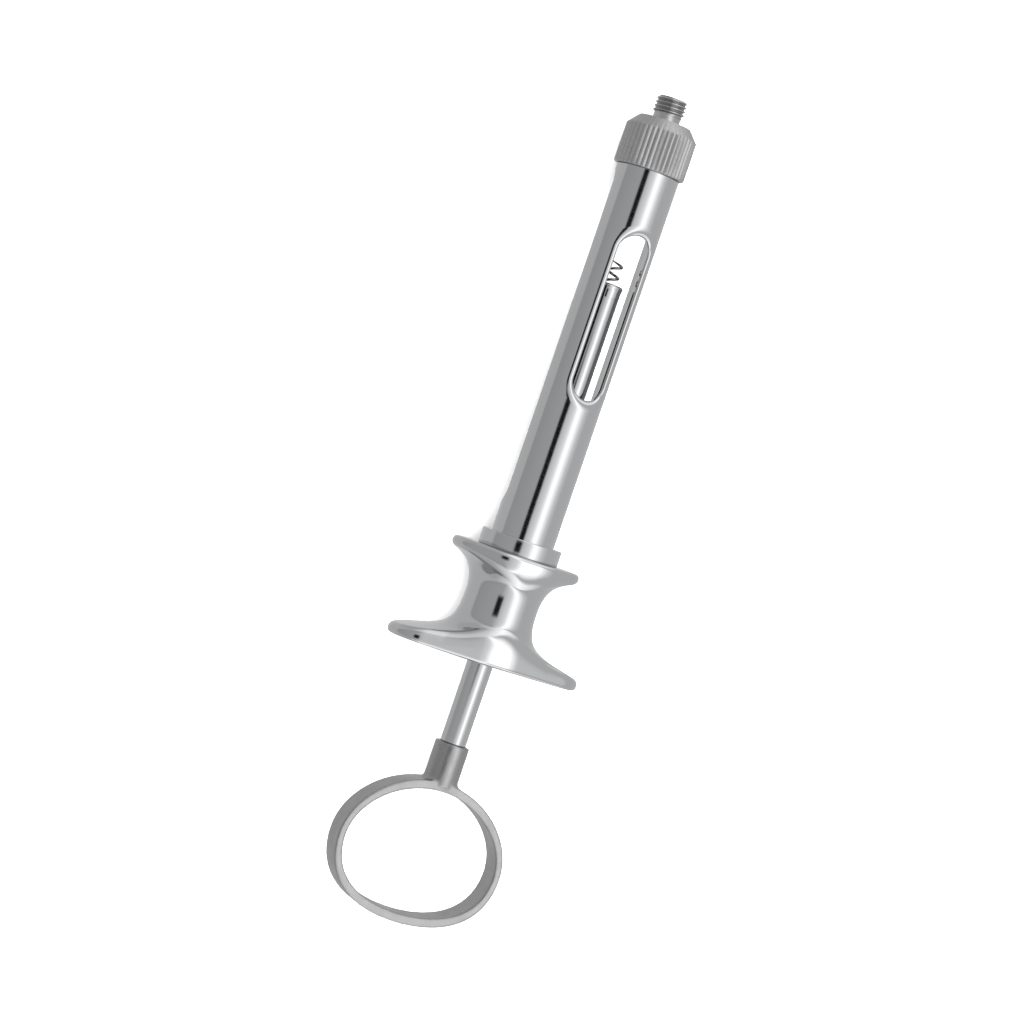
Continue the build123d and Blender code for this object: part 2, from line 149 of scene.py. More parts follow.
# %% [markdown]
# ## The studio
#
# Polished steel shows its surroundings, so the surroundings are drawn as a product studio
# sets them up: grey walls, one long soft panel to the right of the syringe, and a narrow dark slot
# overhead where the camera stands. The panels run along the syringe, so their brightness depends
# on the angle round its axis, and one colour ramp over that angle describes the whole room.

# %% Angle round the syringe
world = bpy.data.worlds.new("studio")
bpy.context.scene.world = world
world.use_nodes = True
sky = world.node_tree
sky.nodes.clear()

direction = add(sky, "ShaderNodeTexCoord").outputs["Generated"]
side = add(sky, "ShaderNodeVectorMath", {"operation": "DOT_PRODUCT"}, _0=direction, _1=across_picture)
above = add(sky, "ShaderNodeVectorMath", {"operation": "DOT_PRODUCT"}, _0=direction, _1=toward_camera)
angle = add(sky, "ShaderNodeMath", {"operation": "ARCTAN2"}, _0=side.outputs["Value"],
            _1=above.outputs["Value"])
print("the room is described by the angle round the syringe, 0 degrees at the camera")

# %% [markdown]
# The panels have ends, and their corners are round. `pinch` is 1 at the middle of their length and
# falls to nothing at their ends, and dividing the angle by it draws every panel in to a rounded end.

# %% Panel ends
PANEL_END = 0.76
ends = add(sky, "ShaderNodeSeparateXYZ", None, Vector=direction)
steepness = add(sky, "ShaderNodeMath", {"operation": "ABSOLUTE"}, _0=ends.outputs["X"])
along = add(sky, "ShaderNodeMath", {"operation": "DIVIDE"}, _0=steepness.outputs[0], _1=PANEL_END)
corner = add(sky, "ShaderNodeMath", {"operation": "POWER"}, _0=along.outputs[0], _1=4.0)
pinch = add(sky, "ShaderNodeMath", {"operation": "SUBTRACT", "use_clamp": True}, _0=1.0, _1=corner.outputs[0])
not_nothing = add(sky, "ShaderNodeMath", {"operation": "MAXIMUM"}, _0=pinch.outputs[0], _1=0.02)
drawn_in = add(sky, "ShaderNodeMath", {"operation": "DIVIDE"}, _0=angle.outputs[0], _1=not_nothing.outputs[0])
turn = add(sky, "ShaderNodeMapRange", None, Value=drawn_in.outputs[0], From_Min=-math.pi, From_Max=math.pi)

# %% Walls and panels
PANEL_STRENGTH = 2.4


def around(degrees):
    """Position on the ramp of an angle round the syringe, from overhead towards the picture's right."""
    return degrees / 360 + 0.5


walls = add(sky, "ShaderNodeValToRGB", None, Fac=turn.outputs[0])
grey_stops(walls.color_ramp, [
    (around(-180), "929292"),
    (around(-86), "929292"),
    (around(-81), "7c7c7c"),
    (around(-8), "868686"),
    (around(8), "a2a2a2"),
    (around(26), "bcbcbc"),
    (around(42), "f4f4f4"),
    (around(52), "d8d8d8"),
    (around(66), "acacac"),
    (around(83), "929292"),
])

# %% [markdown]
# The room's two ends are walls too: a darker one behind the left shoulder and a bright one behind
# the right. The dark slot overhead is shorter than the panels, so it only shows on surfaces that run
# nearly straight along the syringe.

# %% End walls and the dark slot
end_walls = add(sky, "ShaderNodeValToRGB", None, Fac=add(
    sky, "ShaderNodeMapRange", None, Value=angle.outputs[0], From_Min=-math.pi, From_Max=math.pi).outputs[0])
grey_stops(end_walls.color_ramp, [
    (around(-180), "8a8a8a"),
    (around(-50), "8a8a8a"),
    (around(-5), "b4b4b4"),
    (around(40), "e6e6e6"),
    (around(90), "c4c4c4"),
    (around(170), "8a8a8a"),
])
past_walls = add(sky, "ShaderNodeMapRange", {"interpolation_type": "SMOOTHSTEP"}, Value=steepness.outputs[0],
                 From_Min=PANEL_END - 0.1, From_Max=PANEL_END)
room = add(sky, "ShaderNodeMix", {"data_type": "RGBA"}, _0=past_walls.outputs[0], _6=walls.outputs["Color"],
           _7=end_walls.outputs["Color"])
SLOT_END = 0.3
slot_shade = add(sky, "ShaderNodeValToRGB", None, Fac=turn.outputs[0])
grey_stops(slot_shade.color_ramp, [
    (around(-17), "000000"),
    (around(-12), "ffffff"),
    (around(1), "ffffff"),
    (around(6), "000000"),
])
slot_reach = add(sky, "ShaderNodeMapRange", {"interpolation_type": "SMOOTHSTEP"}, Value=steepness.outputs[0],
                 From_Min=SLOT_END / 2, From_Max=SLOT_END, To_Min=1.0, To_Max=0.0)
slot_here = add(sky, "ShaderNodeMath", {"operation": "MULTIPLY"}, _0=slot_shade.outputs["Color"],
                _1=slot_reach.outputs[0])
darkened = add(sky, "ShaderNodeMix", {"data_type": "RGBA"}, _0=slot_here.outputs[0], _6=room.outputs[2],
               _7=linear("0e0e0e"))
glow = add(sky, "ShaderNodeBackground", None, Color=darkened.outputs[2], Strength=PANEL_STRENGTH)
add(sky, "ShaderNodeOutputWorld", None, Surface=glow.outputs[0])
print("studio nodes:", len(sky.nodes))

# %% [markdown]
# The floor is a pale matte table, and one wide strong lamp overhead lights it evenly, so that it
# carries no shadow. Neither is seen in reflections: the room above already has the panels that the
# steel should show.

# %% Floor and lamp
floor_mesh = bpy.data.meshes.new("floor")
bm = bmesh.new()
bmesh.ops.create_grid(bm, x_segments=1, y_segments=1, size=4)
bm.to_mesh(floor_mesh)
bm.free()
floor = bpy.data.objects.new("floor", floor_mesh)
floor.visible_glossy = False
bpy.context.scene.collection.objects.link(floor)

paper = bpy.data.materials.new("matte_white_table")
paper.use_nodes = True
shader = paper.node_tree.nodes["Principled BSDF"]
shader.inputs["Base Color"].default_value = linear("f4f4f4")
shader.inputs["Roughness"].default_value = 0.9
floor_mesh.materials.append(paper)

lamp_data = bpy.data.lights.new("overhead_lamp", "AREA")
lamp_data.shape = "DISK"
lamp_data.size = 2.4
lamp_data.energy = 110
lamp = bpy.data.objects.new("overhead_lamp", lamp_data)
lamp.location = (0, 0, 1.5)
lamp.visible_glossy = False
bpy.context.scene.collection.objects.link(lamp)

bpy.context.scene.view_settings.view_transform = "Standard"
print("lamp:", lamp_data.size, "m across,", lamp_data.energy, "W")

# %% [markdown]
# ## Finishes
#
# Every finish starts the same way: a Principled shader whose pattern is read in Object coordinates,
# in metres. A noise texture's scale counts blobs per metre, so `per_mm` turns a real grain size in
# millimetres into that scale.

# %% Start a finish


def per_mm(size):
    """A noise scale whose blobs are about `size` millimetres across."""
    return 1 / (size * MM)


def start_finish(name, base, metallic, roughness):
    """A new material with its Principled shader and its Object coordinates."""
    finish = bpy.data.materials.new(name)
    finish.use_nodes = True
    tree = finish.node_tree
    shader = tree.nodes["Principled BSDF"]
    shader.inputs["Base Color"].default_value = linear(base)
    shader.inputs["Metallic"].default_value = metallic
    shader.inputs["Roughness"].default_value = roughness
    place = add(tree, "ShaderNodeTexCoord").outputs["Object"]
    return finish, tree, shader, place


# %% [markdown]
# **Buffed stainless steel.** The barrel, rod, grip and collar are turned from 18/8 stainless bar and
# buffed on a wheel. The mirror is not perfect: the wheel leaves the surface very slightly wavy over
# a few millimetres, and hair-fine lines run round the piece where it was turned. The waviness bends
# the edges of reflections, and the fine lines spread highlights a little across the grain.

# %% Buffed steel
buffed_steel, tree, shader, place = start_finish("buffed_stainless_steel", "bfc0c1", 1.0, 0.1)
buff_waves = add(tree, "ShaderNodeTexNoise", None, Vector=place, Scale=per_mm(3.5), Detail=1.0)
across_grain = add(tree, "ShaderNodeMapping", None, Vector=place, Scale=(12.0, 1.0, 1.0))
# real turning lines are about 0.02 mm apart; drawn at 0.12 mm so that they show
turned_lines = add(tree, "ShaderNodeTexNoise", None, Vector=across_grain.outputs[0], Scale=per_mm(1.5),
                   Detail=3.0)
shine = add(tree, "ShaderNodeMapRange", None, Value=turned_lines.outputs["Fac"], From_Min=0.3, From_Max=0.75,
            To_Min=0.065, To_Max=0.15)
tree.links.new(shine.outputs[0], shader.inputs["Roughness"])
wavy = add(tree, "ShaderNodeBump", None, Strength=0.25, Distance=0.00004, Height=buff_waves.outputs["Fac"])
lined = add(tree, "ShaderNodeBump", None, Strength=0.12, Distance=0.000004,
            Height=turned_lines.outputs["Fac"], Normal=wavy.outputs[0])
tree.links.new(lined.outputs[0], shader.inputs["Normal"])
print(buffed_steel.name, "nodes:", len(tree.nodes))

# %% [markdown]
# **Satin stainless steel.** The thumb ring is a casting, tumbled and brushed rather than buffed, so
# its reflections are soft and a little mottled. Two sizes of noise give the brushing: grain of
# about a quarter of a millimetre, and cloudy patches a few millimetres across.

# %% Satin steel
satin_steel, tree, shader, place = start_finish("satin_stainless_steel", "969697", 1.0, 0.42)
grain = add(tree, "ShaderNodeTexNoise", None, Vector=place, Scale=per_mm(0.28), Detail=2.0)
clouds = add(tree, "ShaderNodeTexNoise", None, Vector=place, Scale=per_mm(3.0), Detail=2.0)
patchy = add(tree, "ShaderNodeMapRange", None, Value=clouds.outputs["Fac"], From_Min=0.3, From_Max=0.7,
             To_Min=0.29, To_Max=0.4)
tree.links.new(patchy.outputs[0], shader.inputs["Roughness"])
tint = add(tree, "ShaderNodeMix", {"data_type": "RGBA"}, _0=grain.outputs["Fac"], _6=linear("8a8a8b"),
           _7=linear("acacad"))
tree.links.new(tint.outputs[2], shader.inputs["Base Color"])
brushed = add(tree, "ShaderNodeBump", None, Strength=0.35, Distance=0.00003, Height=grain.outputs["Fac"])
tree.links.new(brushed.outputs[0], shader.inputs["Normal"])
print(satin_steel.name, "nodes:", len(tree.nodes))

# %% [markdown]
# **Bead-blasted stainless steel.** The cap is knurled and then blasted with glass beads for grip,
# which leaves an even grey surface of tiny dimples with no clear reflection at all. A few larger
# pits are dents from use.

# %% Bead-blasted steel
blasted_steel, tree, shader, place = start_finish("bead_blasted_stainless_steel", "aeaeaf", 1.0, 0.46)
dimples = add(tree, "ShaderNodeTexNoise", None, Vector=place, Scale=per_mm(0.2), Detail=2.0)
mottle = add(tree, "ShaderNodeMix", {"data_type": "RGBA"}, _0=dimples.outputs["Fac"], _6=linear("969697"),
             _7=linear("c4c4c5"))
tree.links.new(mottle.outputs[2], shader.inputs["Base Color"])
pits = add(tree, "ShaderNodeTexVoronoi", None, Vector=place, Scale=per_mm(3.2))
pit_floor = add(tree, "ShaderNodeMapRange", None, Value=pits.outputs["Distance"], From_Min=0.05, From_Max=0.1)
dimpled = add(tree, "ShaderNodeBump", None, Strength=0.4, Distance=0.00003, Height=dimples.outputs["Fac"])
pitted = add(tree, "ShaderNodeBump", None, Strength=0.5, Distance=0.00006, Height=pit_floor.outputs[0],
             Normal=dimpled.outputs[0])
tree.links.new(pitted.outputs[0], shader.inputs["Normal"])
print(blasted_steel.name, "nodes:", len(tree.nodes))

# %% [markdown]
# **Turned steel, bronze, PTFE and nitrile rubber.** The needle adapter is left as it came off the
# lathe, a little duller than the buffed parts. The corkscrew is hard drawn wire, darker than the
# stainless parts. Inside the grip, a phosphor-bronze plug guides the
# rod, a nitrile rubber ring grips it, and a white PTFE bush keeps it central. They show only at the
# rod's entry and through the breech, but each has its own surface.

# %% Turned metals
turned_steel, tree, shader, place = start_finish("turned_stainless_steel", "b0b0b1", 1.0, 0.24)
stretched = add(tree, "ShaderNodeMapping", None, Vector=place, Scale=(8.0, 1.0, 1.0))
tool_marks = add(tree, "ShaderNodeTexNoise", None, Vector=stretched.outputs[0], Scale=per_mm(1.0), Detail=2.0)
marked = add(tree, "ShaderNodeBump", None, Strength=0.3, Distance=0.00001, Height=tool_marks.outputs["Fac"])
tree.links.new(marked.outputs[0], shader.inputs["Normal"])

phosphor_bronze, tree, shader, place = start_finish("phosphor_bronze", "b98d5c", 1.0, 0.3)
stretched = add(tree, "ShaderNodeMapping", None, Vector=place, Scale=(8.0, 1.0, 1.0))
tarnish = add(tree, "ShaderNodeTexNoise", None, Vector=stretched.outputs[0], Scale=per_mm(2.0), Detail=2.0)
brown = add(tree, "ShaderNodeMix", {"data_type": "RGBA"}, _0=tarnish.outputs["Fac"], _6=linear("8a6238"),
            _7=linear("cda374"))
tree.links.new(brown.outputs[2], shader.inputs["Base Color"])

wire_steel, tree, shader, place = start_finish("drawn_spring_steel", "77777a", 1.0, 0.16)
drawn = add(tree, "ShaderNodeTexNoise", None, Vector=place, Scale=per_mm(0.15), Detail=2.0)
scored = add(tree, "ShaderNodeBump", None, Strength=0.3, Distance=0.00001, Height=drawn.outputs["Fac"])
tree.links.new(scored.outputs[0], shader.inputs["Normal"])

# %% Bush plastic and seal rubber
ptfe, tree, shader, place = start_finish("machined_ptfe", "e8e8e4", 0.0, 0.45)
shader.inputs["IOR"].default_value = 1.35
waxy = add(tree, "ShaderNodeTexNoise", None, Vector=place, Scale=per_mm(0.6), Detail=2.0)
smeared = add(tree, "ShaderNodeBump", None, Strength=0.3, Distance=0.00002, Height=waxy.outputs["Fac"])
tree.links.new(smeared.outputs[0], shader.inputs["Normal"])

nitrile_rubber, tree, shader, place = start_finish("nitrile_rubber", "1c1c1d", 0.0, 0.6)
bloom = add(tree, "ShaderNodeTexNoise", None, Vector=place, Scale=per_mm(0.5), Detail=2.0)
dusty = add(tree, "ShaderNodeMix", {"data_type": "RGBA"}, _0=bloom.outputs["Fac"], _6=linear("141414"),
            _7=linear("2c2c2d"))
tree.links.new(dusty.outputs[2], shader.inputs["Base Color"])

for name, finish in (("guide_bearing", phosphor_bronze), ("gland_nut", phosphor_bronze),
                     ("rear_guide_bush", ptfe), ("friction_ring", nitrile_rubber)):
    nodes[name].data.materials.clear()
    nodes[name].data.materials.append(finish)
    print(name, "is", finish.name)

# %% [markdown]
# ## Turned pieces
#
# Nearly every piece was made on a lathe, and is modelled the way a lathe makes it. `draw` joins
# (along X, radius) points into half a section, and `spin` turns it round the syringe's axis. Then
# `break_edges` bevels the sharp rings, as a machinist breaks every edge with a file.

# %% Lathe helpers
AXIS_POINT = (0, 0, AXIS_Z)


def draw(bm, points, closed=True):
    """Half a section as a chain of edges above the axis, from (x, radius) points in metres."""
    corners = [bm.verts.new((x, 0, AXIS_Z + radius)) for x, radius in points]
    pairs = list(zip(corners, corners[1:] + corners[:1] if closed else corners[1:]))
    return corners + [bm.edges.new(pair) for pair in pairs]


def spin(bm, section, steps):
    """Turns a section once round the axis and closes its seam."""
    bmesh.ops.spin(bm, geom=section, cent=AXIS_POINT, axis=(1, 0, 0), angle=2 * math.pi, steps=steps,
                   use_merge=True)
    bmesh.ops.remove_doubles(bm, verts=bm.verts, dist=0.001 * MM)
    bmesh.ops.recalc_face_normals(bm, faces=bm.faces)


def break_edges(bm, width, sharper_than=30, segments=3):
    """Bevels the edges whose faces meet at more than an angle."""
    sharp = [edge for edge in bm.edges if len(edge.link_faces) == 2
             and edge.calc_face_angle() > math.radians(sharper_than)]
    bmesh.ops.bevel(bm, geom=sharp, offset=width, offset_type="OFFSET", affect="EDGES", segments=segments,
                    profile=0.5, material=-1, clamp_overlap=True)


def hand_over(bm, name, body, finish, sharper_than=35):
    """Makes the mesh an object that rides on a body and stands for the CAD node of the same name."""
    mesh = bpy.data.meshes.new(name)
    bm.to_mesh(mesh)
    bm.free()
    mesh.shade_smooth()
    mesh.set_sharp_from_angle(angle=math.radians(sharper_than))
    mesh.materials.append(finish)
    piece = bpy.data.objects.new(name + "_finished", mesh)
    bpy.context.scene.collection.objects.link(piece)
    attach(piece, body)
    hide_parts(name)
    print(piece.name, "faces:", len(mesh.polygons))
    return piece


# %% [markdown]
# **Collar.** A plain lock ring. Its corners are crisp, with only a small break.

# %% Collar
collar_rear, collar_front, collar_radius = span("barrel_collar")
COLLAR_BORE = 5.62 * MM
bm = bmesh.new()
section = draw(bm, [(collar_rear, COLLAR_BORE), (collar_rear, collar_radius), (collar_front, collar_radius),
                    (collar_front, COLLAR_BORE)])
spin(bm, section, 160)
break_edges(bm, 0.18 * MM)
hand_over(bm, "barrel_collar", "barrel_assembly", buffed_steel)

# %% [markdown]
# **Piston rod.** A ground bar, turned down at its rear where it enters the thumb ring's socket, and
# drilled at its front for the head.

# %% Piston rod
rod_rear, rod_front, rod_radius = span("piston_rod")
socket_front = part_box("thumb_ring")[1].x
SPIGOT = 2.0 * MM
TENON_HOLE = 2.06 * MM
TENON = 5.0 * MM
shoulder = socket_front + 0.05 * MM
bm = bmesh.new()
section = draw(bm, [(rod_rear, 0), (rod_rear, SPIGOT), (shoulder, SPIGOT), (shoulder, rod_radius),
                    (rod_front, rod_radius), (rod_front, TENON_HOLE), (rod_front - TENON, TENON_HOLE),
                    (rod_front - TENON, 0)], closed=False)
spin(bm, section, 96)
break_edges(bm, 0.06 * MM)
hand_over(bm, "piston_rod", "piston", buffed_steel)

# %% [markdown]
# **Piston head.** The head flares like a trumpet, so that it pushes the cartridge's stopper over its
# whole width, and ends in a rounded lip round a shallow cup. The flare is a Bezier curve.

# %% Piston head
head_rear, head_front, head_radius = span("piston_head")
LIP = 0.55 * MM
CUP = 0.35 * MM
SHANK_HOLE = 1.50 * MM
flare = interpolate_bezier(
    Vector((rod_front, rod_radius, 0)), Vector((rod_front + 1.3 * MM, rod_radius, 0)),
    Vector((head_front - LIP - 0.4 * MM, rod_radius + 0.02 * MM, 0)),
    Vector((head_front - LIP, head_radius, 0)), 10)
lip = interpolate_bezier(
    Vector((head_front - LIP, head_radius, 0)), Vector((head_front - 0.1 * MM, head_radius - 0.05 * MM, 0)),
    Vector((head_front, head_radius - 0.35 * MM, 0)), Vector((head_front, head_radius - 0.7 * MM, 0)), 7)
outside = [(point.x, point.y) for point in flare + lip[1:]]
bm = bmesh.new()
section = draw(bm, [(head_rear, SHANK_HOLE), (head_rear, TENON_HOLE - 0.01 * MM),
                    (rod_front, TENON_HOLE - 0.01 * MM)] + outside + [(head_front - CUP, SHANK_HOLE)])
spin(bm, section, 96)
hand_over(bm, "piston_head", "piston", buffed_steel, sharper_than=45)

# %% [markdown]
# **Barrel.** A turned tube with a spigot at each end. The viewing window and the breech are milled
# through its wall, and the window's rim is then polished into a wide soft round. Two cutters do the
# same here through a Boolean modifier. The window's cutter is a slot whose walls flare outwards at
# the surface, so that the cut leaves the rounded rim behind. The lock ring holds the barrel ten
# degrees round from square to the grip.

# %% Barrel tube
barrel_rear, barrel_front, barrel_radius = span("barrel")
BORE_RADIUS, REAR_SPIGOT, FRONT_SPIGOT = 4.7 * MM, 5.6 * MM, 5.5 * MM
shoulder_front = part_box("knurled_cap")[0].x - 0.2 * MM
BARREL_RINGS, BARREL_STEPS = 36, 240
BARREL_TURN = math.radians(10)


def stations(start, end, radius, count):
    """Points at even steps along a straight part of a section."""
    return [(start + (end - start) * i / count, radius) for i in range(count + 1)]


bm = bmesh.new()
section = draw(bm, [(barrel_rear, REAR_SPIGOT), (collar_front, REAR_SPIGOT)]
               + stations(collar_front, shoulder_front, barrel_radius, BARREL_RINGS)
               + [(shoulder_front, FRONT_SPIGOT), (barrel_front, FRONT_SPIGOT)]
               + stations(barrel_front, barrel_rear, BORE_RADIUS, BARREL_RINGS))
spin(bm, section, BARREL_STEPS)
tube_mesh = bpy.data.meshes.new("barrel_tube")
bm.to_mesh(tube_mesh)
bm.free()
print("barrel tube faces:", len(tube_mesh.polygons))

# %% Window cutter
WINDOW_REAR, WINDOW_FRONT = collar_front + 27.9 * MM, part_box("knurled_cap")[0].x - 12.1 * MM
WINDOW_HALF = 3.25 * MM
RIM_SPREAD, RIM_DROP = 2.4 * MM, 1.2 * MM
LAST_SLOPE = math.radians(80)
FLARE_ROWS, END_STEPS = 12, 32


def slot_loop(half_width, grow):
    """A slot's outline, grown by a distance: half circles joined by straight sides in even steps."""
    radius = half_width + grow
    ends = (WINDOW_FRONT - half_width, 1), (WINDOW_REAR + half_width, -1)
    loop = []
    for middle, facing in ends:
        for i in range(END_STEPS + 1):
            turn = math.pi * (i / END_STEPS - 0.5)
            loop.append((middle + facing * radius * math.cos(turn), facing * radius * math.sin(turn)))
        run = ends[1][0] - ends[0][0]
        loop += [(middle + facing * run * i / 24, facing * radius) for i in range(1, 24)]
    return loop


def on_surface(x, y, drop):
    """The point above (x, y) on the barrel's outside, lowered by a drop."""
    return x, y, AXIS_Z + math.sqrt(max(barrel_radius ** 2 - y ** 2, 0)) - drop


bm = bmesh.new()
rows = [[(x, y, AXIS_Z) for x, y in slot_loop(WINDOW_HALF, 0)]]
for i in range(FLARE_ROWS + 1):
    slope = LAST_SLOPE * i / FLARE_ROWS
    grow = RIM_SPREAD * (1 - math.cos(slope))
    drop = RIM_DROP * (math.sin(LAST_SLOPE) - math.sin(slope))
    rows.append([on_surface(x, y, drop) for x, y in slot_loop(WINDOW_HALF, grow)])
OVERRUN = 0.12 * MM
climb = OVERRUN * RIM_DROP / RIM_SPREAD / math.tan(LAST_SLOPE)
rows.append([on_surface(x, y, -climb)
             for x, y in slot_loop(WINDOW_HALF, RIM_SPREAD * (1 - math.cos(LAST_SLOPE)) + OVERRUN)])
rows.append([(x, y, z + 3 * MM) for x, y, z in rows[-1]])
edge_loops = []
for row_points in rows:
    loop = [bm.verts.new(point) for point in row_points]
    edge_loops.append([bm.edges.new(pair) for pair in zip(loop, loop[1:] + loop[:1])])
for lower, upper in zip(edge_loops, edge_loops[1:]):
    bmesh.ops.bridge_loops(bm, edges=lower + upper)
bmesh.ops.holes_fill(bm, edges=edge_loops[0] + edge_loops[-1])

# %% Breech cutter
BREECH_REAR, BREECH_FRONT = collar_front + 5.5 * MM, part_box("knurled_cap")[0].x - 0.9 * MM
BREECH_DROP, BREECH_ROUND = 0.8 * MM, 3.0 * MM
box = bmesh.ops.create_cube(bm, size=1)["verts"]
size = (BREECH_FRONT - BREECH_REAR, 24 * MM, 12 * MM)
bmesh.ops.scale(bm, verts=box, vec=size)
bmesh.ops.translate(bm, verts=box, vec=((BREECH_FRONT + BREECH_REAR) / 2, 0, AXIS_Z - BREECH_DROP - 6 * MM))
top_ends = [edge for edge in {edge for vert in box for edge in vert.link_edges}
            if all(vert.co.z > AXIS_Z - BREECH_DROP - MM for vert in edge.verts)
            and abs(edge.verts[0].co.x - edge.verts[1].co.x) < 0.1 * MM]
bmesh.ops.bevel(bm, geom=top_ends, offset=BREECH_ROUND, offset_type="OFFSET", affect="EDGES", segments=12,
                profile=0.5, material=-1)
bmesh.ops.recalc_face_normals(bm, faces=bm.faces)
bmesh.ops.rotate(bm, verts=bm.verts, cent=AXIS_POINT, matrix=Matrix.Rotation(BARREL_TURN, 3, "X"))
cutter_mesh = bpy.data.meshes.new("barrel_cutters")
bm.to_mesh(cutter_mesh)
bm.free()
print("cutter faces:", len(cutter_mesh.polygons), "edges of the breech's round ends:", len(top_ends))

# %% [markdown]
# The Boolean leaves many-sided faces beside the cuts. Smooth shading would smear the rim's light
# along them, so the corners that lie on the tube's own two cylinders are given exact normals.

# %% Cut the barrel
tube = bpy.data.objects.new("barrel_tube", tube_mesh)
cutter = bpy.data.objects.new("barrel_cutters", cutter_mesh)
for scratch in (tube, cutter):
    bpy.context.scene.collection.objects.link(scratch)
cut = tube.modifiers.new("cut", "BOOLEAN")
cut.operation = "DIFFERENCE"
cut.solver = "EXACT"
cut.object = cutter
bpy.context.view_layer.update()
cut_mesh = tube.evaluated_get(bpy.context.evaluated_depsgraph_get()).to_mesh()
bm = bmesh.new()
bm.from_mesh(cut_mesh)
for scratch, mesh in ((tube, tube_mesh), (cutter, cutter_mesh)):
    bpy.data.objects.remove(scratch)
    bpy.data.meshes.remove(mesh)
barrel = hand_over(bm, "barrel", "barrel_assembly", buffed_steel, sharper_than=30)
normals = []
for face in barrel.data.polygons:
    spots = [barrel.data.vertices[i].co for i in face.vertices]
    outwards = [Vector((0, spot.y, spot.z - AXIS_Z)) for spot in spots]
    for radius, facing in ((barrel_radius, 1), (BORE_RADIUS, -1)):
        if all(abs(out.length - radius) < 0.004 * MM for out in outwards) and abs(face.normal.x) < 0.1:
            normals += [out.normalized() * facing for out in outwards]
            break
    else:
        normals += [Vector()] * len(spots)
barrel.data.normals_split_custom_set(normals)
print("corners with exact normals:", sum(1 for normal in normals if normal.length > 0.5), "of", len(normals))

# %% [markdown]
# **Finger grip.** The grip is one waisted spool whose two flanges are drawn out sideways into wings.
# It is turned first, then its sides are ground away to the wings' outline and everything is buffed
# until the edges flow. The mesh is made in the same order: one section is spun, and then each
# vertex is pulled in to the section that belongs to its own direction.
#
# Seen from the needle end, a flange's outline is two short flats, an arc at each of their ends, a
# straight side and a rounded tip. `outline_radius` gives its distance from the axis.

# %% Grip sizes
grip_low, grip_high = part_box("finger_grip")
GRIP_REAR, GRIP_FRONT = grip_low.x, grip_high.x
HALF_DEPTH = (grip_high.z - grip_low.z) / 2
WAIST_RADIUS = 7.0 * MM
WAIST_X = GRIP_REAR + 0.554 * (GRIP_FRONT - GRIP_REAR)
FLAT_HALF = 1.6 * MM
TIP_RADIUS = HALF_DEPTH - 3.0 * MM
REAR_WING = {"face": GRIP_REAR, "inward": 1, "reach": grip_high.y, "tip": 2.0 * MM, "pulls": (0.65, 0.78)}
FRONT_WING = {"face": GRIP_FRONT, "inward": -1, "reach": 12.75 * MM, "tip": 1.8 * MM, "pulls": (0.54, 0.61)}
WING_SLOPE = 0.25


def outline_radius(turn, reach):
    """The outline's distance from the axis, `turn` radians away from straight up."""
    across, up = abs(math.sin(turn)), abs(math.cos(turn))
    tip_middle = reach - TIP_RADIUS
    lean = math.asin((HALF_DEPTH - TIP_RADIUS) / (tip_middle - FLAT_HALF))
    here = math.atan2(across, up)
    ends = [math.atan2(middle + radius * math.sin(lean), radius * math.cos(lean))
            for middle, radius in ((FLAT_HALF, HALF_DEPTH), (tip_middle, TIP_RADIUS))]
    if here < math.atan2(FLAT_HALF, HALF_DEPTH):
        return HALF_DEPTH / up
    if here < ends[0]:
        return FLAT_HALF * across + math.sqrt(HALF_DEPTH ** 2 - (FLAT_HALF * up) ** 2)
    if here < ends[1]:
        return (FLAT_HALF * math.sin(lean) + HALF_DEPTH) / math.cos(here - lean)
    return tip_middle * across + math.sqrt(TIP_RADIUS ** 2 - (tip_middle * up) ** 2)


print("outline at top and at tip, mm:",
      [round(outline_radius(t, grip_high.y) / MM, 2) for t in (0, math.pi / 2)])

# %% [markdown]
# A wing's section runs from the waist along a Bezier curve, turns the rim with a large soft round,
# drops down the rim, turns the outer edge with a smaller round and comes in along the flat face.
# It always has the same number of points, whatever the outline's distance, so that every direction
# round the axis can share one spun mesh.

# %% Wing section
RIM_ROUND = 2.6 * MM
FACE_ROUND = 0.9 * MM


def walk(line, distance):
    """The point at a distance along a chain of points."""
    for start, end in zip(line, line[1:]):
        step = (end - start).length
        if distance <= step:
            return start.lerp(end, distance / step)
        distance -= step
    return line[-1].copy()


